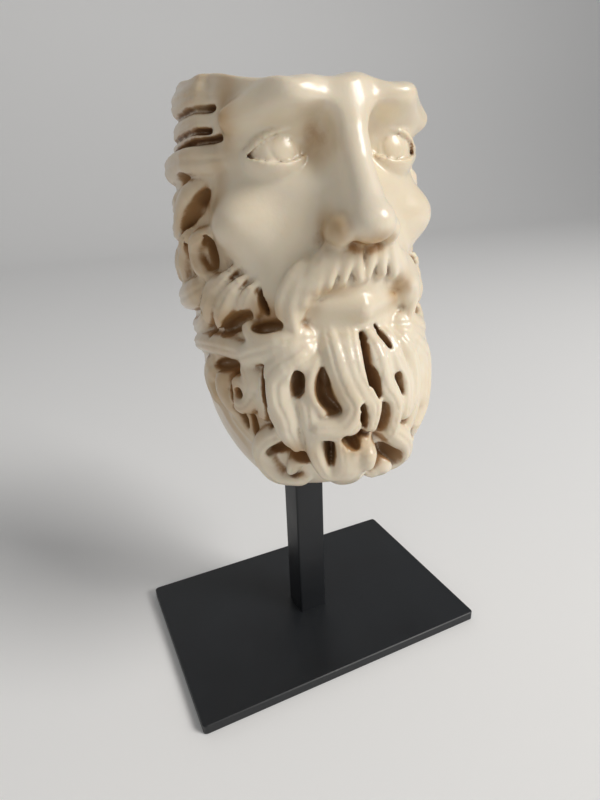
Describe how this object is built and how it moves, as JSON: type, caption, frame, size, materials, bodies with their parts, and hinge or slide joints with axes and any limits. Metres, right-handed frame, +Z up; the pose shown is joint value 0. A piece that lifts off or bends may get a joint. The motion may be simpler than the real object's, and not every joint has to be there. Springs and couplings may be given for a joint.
{
  "type": "bearded head fragment on a stand",
  "caption": "Broken front of a bearded male head with carved curls, cast in pale resin, held on a square bar over a flat rectangular plate.",
  "frame": {"origin": "middle of the underside of the base plate", "axes": "+Z up along the bar, the face looks towards -Y, +X to the viewer's right when facing the head"},
  "size_m": [0.15, 0.1305, 0.2618],
  "materials": {
    "resin": "cream casting resin like wax or alabaster, softly glossy, brown patina in the hollows",
    "black_paint": "satin black paint on steel"
  },
  "bodies": {
    "root": {"head": "resin", "post": "black_paint", "base_plate": "black_paint"}
  },
  "joints": []
}
